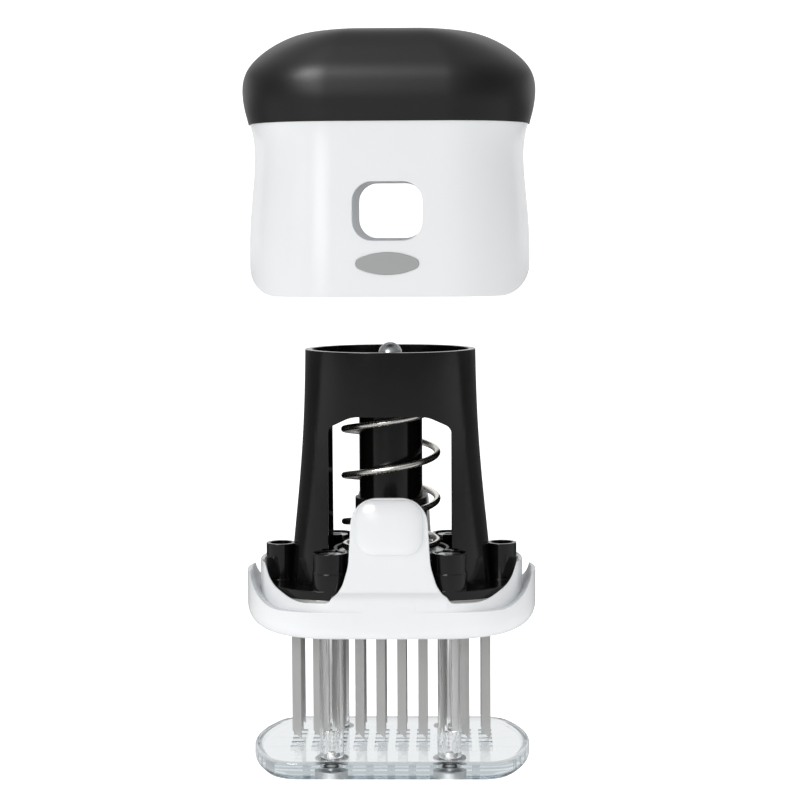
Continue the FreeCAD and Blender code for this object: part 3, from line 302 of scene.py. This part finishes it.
# Zinc plate is a cool grey with a soft shine.
zinc, tree, shader = new_finish("zinc_plated_steel", Base_Color=linear("#BFC1C2"), Metallic=1.0)
vary(tree, shader, "Roughness", grain(tree, shader, 1.5, 0.01, edge=0.2), 0.24, 0.36)
dress(zinc, "slider_screws", "spring_washer", "carrier_screws", "clamp_screws", "top_washer",
      "dome_screw", "cap_screws")


def fan(first, sides, pole):
    """Triangles from each side of a ring to one pole."""
    around = np.arange(sides)
    return np.stack([first + around, first + (around + 1) % sides, np.full(sides, pole)], -1)


def capped(rings):
    """A stack of rings with both ends closed by a fan to the middle of the end ring, as points,
    quads and triangles."""
    count, sides = rings.shape[:2]
    points = np.concatenate([rings.reshape(-1, 3), rings[0].mean(0)[None], rings[-1].mean(0)[None]])
    lids = np.concatenate([fan(0, sides, count * sides)[:, ::-1],
                           fan((count - 1) * sides, sides, count * sides + 1)])
    return points, grid_faces(count, sides, around=True), lids


# A turned profile of (radius, level, shape) in millimetres: from the floor of the socket out over
# the head, up its side, in under it and along the shank.  A shape is 1 for a round ring, or the
# hexagon's distance from its middle, one over the cosine of the angle from the nearest flat.
SOCKET, HEAD, SHANK, HEAD_SIDES = 2.3, 6.02, 1.9, 48
turn = np.linspace(0, 2 * np.pi, HEAD_SIDES, endpoint=False)
hexagon = 1 / np.cos((turn + np.pi / 6) % (np.pi / 3) - np.pi / 6)
lathe = [(SOCKET, 1.9, hexagon), (SOCKET, 0.45, hexagon), (2.7, 0.4, 1), (5.3, 0.4, 1),
         (5.8, 0.6, 1), (HEAD, 1.1, 1), (HEAD, 2.23, 1), (SHANK, 2.25, 1), (SHANK, 7.5, 1),
         (1.5, 8.0, 1)]
screw = np.stack([np.stack([radius * shape * np.cos(turn), radius * shape * np.sin(turn),
                            np.full(HEAD_SIDES, float(level))], -1)
                  for radius, level, shape in lathe])
points, *faces = capped(screw)
spots = np.array([[x, y, 0] for y in (-23.6, 23.6) for x in (-21.3, 21.3)])
each = len(points) * np.arange(len(spots))[:, None, None]
heads = add_mesh("foot_screws", (points + spots[:, None]) / 1000,
                 *[(part + each).reshape(-1, part.shape[1]) for part in faces])

# Nickel plate is brighter and paler than zinc, here dulled by its barrel finish.
bright, tree, shader = new_finish("bright_nickel_plated_steel", Base_Color=linear("#E9EAEA"),
                                  Metallic=1.0)
vary(tree, shader, "Roughness", grain(tree, shader, 1.5, 0.01), 0.5, 0.6)
heads.data.materials.append(bright)
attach(heads, "guard")
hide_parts("post_screws")

# --- Spring slider, blade carrier and cap core -------------------------------------------
# The hidden working parts: a slider with four arms on the posts, the bushes that run on them, the
# block that holds the blades and the cap's stiff core.  They are moulded from glass-filled nylon,
# which is dull with a fine grain.

nylon, tree, shader = new_finish("black_glass_filled_nylon", Base_Color=linear("#191919"))
vary(tree, shader, "Roughness", grain(tree, shader, 0.6, 0.02, edge=0.3), 0.34, 0.46)
dress(nylon, "spring_slider", "blade_carrier", "cap_core",
      *[f"guide_bush_{corner}" for corner in CORNERS])

# --- Blades and clamp plate --------------------------------------------------------------
# Fifty flat blades in five rows, blanked from stainless strip and ground along their length,
# which gives a satin grey with fine upright lines, drawn coarser than real ones so they show.

ground, tree, shader = new_finish("ground_stainless_steel", Base_Color=linear("#CACAC9"),
                                  Metallic=1.0)
vary(tree, shader, "Roughness", grain(tree, shader, 0.45, 0.012, stretch=(1, 1, 30), edge=0.12),
     0.3, 0.48)
dress(ground, "clamp_plate", *[f"blade_row_{row}" for row in range(1, 6)])

# --- Head base, tower and guide tube -----------------------------------------------------
# The head's black deck with its bosses, the arch that carries the handle, and the tube that
# guides the spring, all moulded from ABS in a polished tool, so they are near black and glossy.

gloss_black, tree, shader = new_finish("polished_black_abs", Base_Color=linear("#080807"), IOR=1.5)
vary(tree, shader, "Roughness", grain(tree, shader, 6.0, 0.012, edge=0.35), 0.12, 0.2)
dress(gloss_black, "head_base", "tower_frame", "guide_tube")

# --- Spring ------------------------------------------------------------------------------
# A compression spring with a closed coil at each end and three open turns, wound from 2.4 mm
# oil-tempered wire.  It is dark at its edges and bright where the round wire faces the light.


def smooth_through(knots, values, at):
    """A natural cubic spline: between knots the value is a cubic whose first and second
    derivatives run on into the next, and whose second derivative is nothing at both ends."""
    knots, values, at = (np.asarray(part, float) for part in (knots, values, at))
    step = np.diff(knots)
    slope = np.diff(values) / step
    count = len(knots)
    system = np.eye(count)
    rows = np.arange(1, count - 1)
    system[rows, rows - 1] = step[:-1]
    system[rows, rows] = 2 * (step[:-1] + step[1:])
    system[rows, rows + 1] = step[1:]
    right_side = np.zeros(count)
    right_side[1:-1] = 6 * np.diff(slope)
    bend = np.linalg.solve(system, right_side)
    k = np.clip(np.searchsorted(knots, at) - 1, 0, count - 2)
    on, off = (at - knots[k]) / step[k], (knots[k + 1] - at) / step[k]
    return (on * values[k + 1] + off * values[k]
            + ((on**3 - on) * bend[k + 1] + (off**3 - off) * bend[k]) * step[k]**2 / 6)


def tube(route, radius, sides):
    """Rings of a round tube along a route: each lies across the route's tangent, on a sideways
    direction, the tangent crossed with upright, and one at right angles to both."""
    tangent = np.gradient(route, axis=0)
    tangent /= np.linalg.norm(tangent, axis=1, keepdims=True)
    side = np.cross(tangent, [0, 0, 1.0])
    side /= np.linalg.norm(side, axis=1, keepdims=True)
    over = np.cross(side, tangent)
    turn = np.linspace(0, 2 * np.pi, sides, endpoint=False)
    ring = side[:, None] * np.cos(turn)[:, None] + over[:, None] * np.sin(turn)[:, None]
    return route[:, None] + radius * ring


# The wire's middle climbs by its own thickness over each closed coil and by the pitch over each
# open turn, and a spline through an eighth of a turn at a time rounds the change between them.
WIRE, COIL = 1.2, 17.1
LOW, HIGH, TURNS, START = 78.8, 135.0, 3, math.radians(25)
turn = np.linspace(0, TURNS + 2, 96 * (TURNS + 2) + 1)
knots = np.arange(0, TURNS + 2.01, 0.125)
knots = knots[(abs(knots - 1) > 0.1) & (abs(knots - TURNS - 1) > 0.1)]
closed = np.minimum(knots, 1) + np.maximum(knots - TURNS - 1, 0)
pitch = (HIGH - LOW - 4 * WIRE) / TURNS
climb = LOW + 2 * WIRE * closed + pitch * np.clip(knots - 1, 0, TURNS)
angle = START + 2 * np.pi * turn
route = np.stack([COIL * np.cos(angle), COIL * np.sin(angle),
                  smooth_through(knots, climb, turn)], -1)
points, *faces = capped(tube(route, WIRE, 16))
spring = add_mesh("coil_spring", points / 1000, *faces)
tempered, tree, shader = new_finish("oil_tempered_spring_wire", Base_Color=linear("#EAE7E1"),
                                    Metallic=1.0)
vary(tree, shader, "Roughness", grain(tree, shader, 0.8, 0.006), 0.22, 0.32)
spring.data.materials.append(tempered)
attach(spring, "blade_head")
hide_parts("spring")
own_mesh(spring)

# --- Collar ------------------------------------------------------------------------------
# The white ring round the blade head: a flange with two raised ends, where the cover sits, and
# a thin wall above it, scooped out beside each latch.  It is ABS moulded in a polished tool,
# bright and even with broad soft reflections.


def oval(half_x, half_y, flat, bulge, counts=(22, 26, 20)):
    """Flat front and back, round ends of radius half_y + bulge, and corner arcs that touch both.
    Each argument has a value for each ring; the points go round from the middle of the front,
    first to the right.  The corner's radius is the one circle that touches the flat at its end
    and the end arc from inside."""
    a, b, s, swell = (np.asarray(part, float)[:, None] for part in (half_x, half_y, flat, bulge))
    end = b + swell
    corner = (end**2 - b**2 - (s - a + end)**2) / (2 * (end - b))
    side = np.where(end > corner, 1, -1)
    turn = np.arctan2(side * (b - corner), side * (s - a + end))
    line, bend, cheek = (np.linspace(0, 1, count, endpoint=False) for count in counts)
    angles = -np.pi / 2 + (np.pi / 2 - turn) * bend
    last = -turn * (1 - np.append(cheek, 1))
    x = np.concatenate([s * line, s + corner * np.cos(angles), a - end + end * np.cos(last)], 1)
    y = np.concatenate([-b + 0 * line, corner - b + corner * np.sin(angles), end * np.sin(last)], 1)
    x = np.concatenate([x, x[:, -2::-1], -x[:, 1:], -x[:, -2:0:-1]], 1)
    y = np.concatenate([y, -y[:, -2::-1], -y[:, 1:], y[:, -2:0:-1]], 1)
    return np.stack([x, y], -1)


def rounded_path(corners, step=0.25):
    """A line through corners (x, y, radius), bent at each inner one by an arc that touches both
    of its sides, as points at most about a step apart along each arc."""
    spots = np.array([corner[:2] for corner in corners], float)
    route = [spots[:1]]
    for k in range(1, len(corners) - 1):
        before, after = spots[k - 1] - spots[k], spots[k + 1] - spots[k]
        before, after = before / np.linalg.norm(before), after / np.linalg.norm(after)
        half = math.acos(float(before @ after)) / 2
        radius = corners[k][2]
        middle = (before + after) / np.linalg.norm(before + after)
        centre = spots[k] + middle * radius / math.sin(half)
        start, end = (spots[k] + arm * radius / math.tan(half) - centre for arm in (before, after))
        swing = math.pi - 2 * half
        share = np.linspace(0, 1, max(3, int(radius * swing / step)))[:, None]
        route.append(centre + (start * np.sin((1 - share) * swing) + end * np.sin(share * swing))
                     / math.sin(swing))
    return np.concatenate([*route, spots[-1:]])


def inward(outline, distance):
    """An outline moved inwards by a distance along its own normals."""
    along = np.roll(outline, -1, 0) - np.roll(outline, 1, 0)
    along /= np.linalg.norm(along, axis=1, keepdims=True)
    return outline + distance * np.stack([-along[:, 1], along[:, 0]], -1)


def height_at(path, outline, top):
    """The height of a path at each point's distance from the middle of the tool, up to a top."""
    return np.minimum(top, np.interp(np.abs(outline[:, 0]), path[:, 0], path[:, 1]))


def at_height(outline, height):
    """An outline's points at one height or at a height each."""
    return np.concatenate([outline, np.broadcast_to(height, len(outline))[:, None]], 1)


def eased(share):
    """A share from 0 to 1 with level ends: 3 s^2 - 2 s^3."""
    return share * share * (3 - 2 * share)


# Heights: the ring's underside, the lip inside it, the ledge that the cover sits on, the top of
# the raised ends, the top of the wall and the wall's edge under each latch.
FOOT, LIP, LEDGE, EAR, BROW, GATE = 50.3, 52.5, 60.6, 71.4, 75.4, 65.5
WALL, MOUTH, BRIM = 1.7, 3.5, 0.4
ROUND = (42, 64, 44)
flange = oval([53.2], [32.2], [24.9], [4.0], ROUND)[0]
wall = oval([48.3], [32.0], [20.0], [4.0], ROUND)[0]
lining, mouth = inward(wall, WALL), inward(wall, MOUTH)
scoop = rounded_path([(0, GATE, 0), (20.8, GATE, 0.3), (21.4, 63.7, 2.5), (34, 63.7, 16),
                      (43.6, 69.0, 10), (47.6, 79, 0)])
seat = rounded_path([(0, LEDGE, 0), (51.4, LEDGE, 12.3), (51.4, 90, 0)])

# The belly: a quarter of an ellipse from the mouth's edge out and up to the flange, which rises
# by 2.2 mm where the ring is narrow and by 8.8 mm at its broad ends.
across = np.linalg.norm(flange - mouth, axis=1)[:, None]
towards = (mouth - flange) / across
belly = across - BRIM
belly_rise = (2.2 + 6.6 * np.clip((belly[:, 0] - 3.2) / 4.5, 0, 1))
profile = [at_height(mouth, FOOT)]
for turn in np.linspace(0, math.pi / 2, 11):
    profile.append(at_height(flange + towards * belly * (1 - math.sin(turn)),
                             FOOT + belly_rise * (1 - math.cos(turn))))

# The flange's top, from its outer edge in to the wall.  Where the two all but meet, in front and
# behind, there is no ledge: the flange is feathered into the wall over a slope 6 mm high.
flush = eased(np.clip((2.6 - np.linalg.norm(flange - wall, axis=1)) / 1.7, 0, 1))
for share in np.array([0, 0.03, 0.1, 0.2, 0.3, 0.4, 0.5, 0.6, 0.7, 0.8, 0.9, 0.97, 1]):
    spot = flange + (wall - flange) * (eased(share) * flush + share * (1 - flush))[:, None]
    level = height_at(seat, spot, EAR)
    profile.append(at_height(spot, level + flush * (6.0 * share - 3.4)))

# The wall's rounded rim, which follows the scoops.  In front of each latch's root its outer skin
# is drawn up into a thin flap, so that the tongue grows out of the collar with no gap.
flap = np.clip((20.6 - np.abs(wall[:, 0])) * 0.75, 0, 2.0)
at_latch = (flap > 0)[:, None]
clear = 1 - at_latch
rim = height_at(scoop, wall, BROW)
inner_rim = height_at(scoop, lining, BROW)
profile += [at_height(inward(outline, aside), level) for outline, aside, level in (
    (wall, -0.04 * at_latch, rim - 0.35),
    (wall, 0.1 * clear - 0.03 * at_latch, rim - 0.1 + 0.6 * flap),
    (wall, 0.35 * clear, rim + flap),
    (wall, 0.1 * clear + 0.25, rim),
    (lining, -0.3, inner_rim),
    (lining, 0.0, inner_rim - 0.3),
    (lining, 0.0, LIP),
    (mouth, 0.0, LIP))]
rings = np.stack(profile)
count, around = rings.shape[:2]
closing = np.stack([np.arange(around), (np.arange(around) + 1) % around], -1)
closing = np.concatenate([(count - 1) * around + closing, closing[:, ::-1]], 1)
collar = add_mesh("collar_ring", rings / 1000, grid_faces(count, around, around=True), closing)

# White ABS lets a little light in under its skin, which lifts its shaded side.
WHITE = {"Base_Color": linear("#F0F2F4"), "IOR": 1.5, "Subsurface_Weight": 0.2,
         "Subsurface_Scale": 0.003, "Subsurface_Radius": (1.0, 1.0, 1.0)}
gloss_white, tree, shader = new_finish("polished_white_abs", **WHITE)
vary(tree, shader, "Roughness", grain(tree, shader, 14.0, 0.02), 0.18, 0.25)
collar.data.materials.append(gloss_white)
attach(collar, "blade_head")
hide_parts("collar")

# --- Latches -----------------------------------------------------------------------------
# A springy tongue front and back, moulded with the collar, whose crowned push button fills the
# cover's window.  Pressed in, the tongue bends at its root and lets the cover go.

# The tongue is a rounded strip: at each height its outline goes across the front, round one edge,
# back along the rear and round the other edge, and its upper part leans in by LEAN.
HINGE, TIP, FACE, THICK, EDGE, LEAN, LEAN_FROM = 65.6, 101.4, 32.0, 1.7, 0.45, 0.45, 80.0
side = rounded_path([(20.7, HINGE, 0), (18.6, 67.2, 3), (16.7, 70.2, 8), (14.6, 77.0, 20),
                     (13.2, TIP, 9.5), (0, TIP, 0)])
reach = np.concatenate([[0], np.cumsum(np.linalg.norm(np.diff(side[:-1], axis=0), axis=1))])
stations = np.linspace(0, reach[-1], 100)
half_width, rise = (np.interp(stations, reach, side[:-1, k])[:, None] for k in (0, 1))
bend = np.linspace(0, np.pi / 2, 5)
FACE_POINTS, EDGE_POINTS = 15, 2 * len(bend) - 1
to_right = np.linspace(-1, 1, FACE_POINTS)
spread = np.concatenate([to_right, np.ones(EDGE_POINTS), -to_right, -np.ones(EDGE_POINTS)])
level_face = np.zeros(FACE_POINTS)
past = EDGE * np.concatenate([level_face, np.sin(bend[1:]), np.cos(bend), level_face,
                              -np.sin(bend[1:]), -np.cos(bend)])
deep = np.concatenate([level_face, EDGE * (1 - np.cos(bend[1:])),
                       THICK - EDGE * (1 - np.sin(bend)), level_face + THICK,
                       THICK - EDGE * (1 - np.cos(bend[1:])), EDGE * (1 - np.sin(bend))])
tongue_x = spread * (half_width - EDGE) + past
lean = LEAN * np.clip((rise - LEAN_FROM) / (TIP - LEAN_FROM), 0, 1)
tongue = np.stack(np.broadcast_arrays(tongue_x, deep + lean - FACE, rise), -1)

# The button is a pillow on a rounded rectangle.  At the share s of its outline it stands proud by
# PROUD (1 - 0.3 s^2) (1 - s^n)^0.6, with n from 3.5 at its top to 7.5 at its foot, so that the
# foot is fuller; its first ring is sunk into the tongue.
BUTTON_LEVEL, HALF_X, HALF_Z, CORNER, PROUD, SUNK = 90.9, 11.95, 9.95, 6.7, 3.2, 0.6
BUTTON_SIDES = 96
swing = np.linspace(0, 2 * np.pi, BUTTON_SIDES, endpoint=False) + np.pi / (2 * BUTTON_SIDES)
pad = np.stack([np.sign(np.cos(swing)) * (HALF_X - CORNER) + CORNER * np.cos(swing),
                np.sign(np.sin(swing)) * (HALF_Z - CORNER) + CORNER * np.sin(swing)], -1)
size = np.concatenate([[1.0], np.sin(np.linspace(np.pi / 2, 0.03, 30))])[:, None]
crown = 5.5 - 2.0 * np.sin(swing)
swell = PROUD * (1 - 0.3 * size**2) * np.clip(1 - size**crown, 0, 1)**0.6
swell[0] = -SUNK
button = np.concatenate([size[..., None] * pad, (-FACE - swell)[..., None]], -1)[..., [0, 2, 1]]
button[..., 2] += BUTTON_LEVEL
for place, facing in (("front", 1), ("back", -1)):
    for part, rings in (("tongue", tongue), ("button", button)):
        points, *faces = capped(rings * [facing, facing, 1])
        piece = add_mesh(f"{place}_{part}", points / 1000, *faces)
        piece.data.materials.append(gloss_white)
        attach(piece, f"latch_{place}")
        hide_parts(f"latch_{place}")

# --- Cover shell and badge ---------------------------------------------------------------
# The cover is one moulding in the collar's white ABS, with a window for each button and softly
# rounded edges.  A bare oval plate in satin grey enamel is set into its front under the window.

shell_white, tree, shader = new_finish("moulded_white_abs", **WHITE)
vary(tree, shader, "Roughness", grain(tree, shader, 14.0, 0.02, edge=0.4), 0.18, 0.25)
dress(shell_white, "cover_shell")
grey, tree, shader = new_finish("satin_grey_enamel", Base_Color=linear("#A0A3A2"))
vary(tree, shader, "Roughness", grain(tree, shader, 0.5, 0.005, edge=0.15), 0.34, 0.44)
dress(grey, "badge")

# --- Soft cap ----------------------------------------------------------------------------
# A thick soft grip moulded over the core.  It is a thermoplastic rubber with a fine matt grain,
# drawn coarser than real so it shows, and the light makes one dim patch and a bloom on its top.

# The outside, as (height over the seam, half length, half depth), smoothed along its own length.
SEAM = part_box("soft_cap")[0][2] * 1000
skin = [(-1.0, 50.95, 34.5), (0.0, 51.2, 34.75), (3.0, 52.0, 35.35), (7.3, 52.8, 36.25),
        (11.6, 53.05, 36.45), (14.6, 52.7, 36.25), (17.8, 51.6, 35.3), (20.9, 49.45, 33.7),
        (24.6, 45.4, 31.6), (28.2, 39.6, 29.2), (31.05, 32.0, 25.6), (32.3, 20.0, 16.0),
        (33.0, 8.5, 7.0), (33.3, 0.6, 0.5)]
rises, halves, depths = np.array(skin).T
reach = np.concatenate([[0], np.cumsum(np.hypot(np.diff(rises), np.diff(halves)))])
steps = np.linspace(0, reach[-1], 70)
rise, half, depth = (smooth_through(reach, values, steps) for values in (rises, halves, depths))

# The inside, from the seam up: the room for the core, the well over the tower's rim, and in its
# roof a dimple over the dome screw.
inner = [(-1.0, 48.5, 32.1), (21.0, 48.6, 32.4), (21.0, 31.6, 25.2), (29.6, 31.6, 25.2),
         (29.6, 6.7, 6.1), (32.0, 6.7, 6.1)]
under_rise, under_half, under_depth = np.array(inner[::-1]).T
levels = np.concatenate([under_rise, rise])
half_x = np.concatenate([under_half, half])
half_y = np.concatenate([under_depth, depth])

# Every ring has the same flatness, and ends that bulge by 4 mm at a half depth of 36.
FLATNESS = 0.39
rings = oval(half_x, half_y, FLATNESS * half_x, 4.0 * half_y / 36)
heights = np.broadcast_to((SEAM + levels)[:, None, None], (*rings.shape[:2], 1))
points, *faces = capped(np.concatenate([rings, heights], -1))
cap = add_mesh("soft_grip_cap", points / 1000, *faces)
rubber, tree, shader = new_finish("black_thermoplastic_rubber", Base_Color=linear("#111111"),
                                  Specular_IOR_Level=0.45, Sheen_Weight=0.02, Sheen_Roughness=0.5)
vary(tree, shader, "Roughness", grain(tree, shader, 0.5, 0.02), 0.36, 0.46)
cap.data.materials.append(rubber)
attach(cap, "cover")
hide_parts("soft_cap")

# --- Camera ------------------------------------------------------------------------------
# A long lens at arm's length, looking a few degrees down on the tool from just right of the
# middle.

EYE = (0.019563, -0.768085, 0.203398)
PITCH, YAW, ROLL = (math.radians(angle) for angle in (5.2, 1.2, 0.29))
ahead = Vector((-math.sin(YAW) * math.cos(PITCH), math.cos(YAW) * math.cos(PITCH),
                -math.sin(PITCH)))
level = ahead.cross(Vector((0, 0, 1))).normalized()
upright = level.cross(ahead)
right = level * math.cos(ROLL) - upright * math.sin(ROLL)
up = upright * math.cos(ROLL) + level * math.sin(ROLL)
lens = bpy.data.cameras.new("camera")
lens.lens, lens.sensor_width = 94.5, 36.0
lens.clip_start, lens.clip_end = 0.05, 20.0
camera = bpy.data.objects.new("camera", lens)
camera.matrix_world = (Matrix.Translation(EYE)
                       @ Matrix((right, up, -ahead)).transposed().to_4x4())
scene.collection.objects.link(camera)
scene.camera = camera

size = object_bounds()
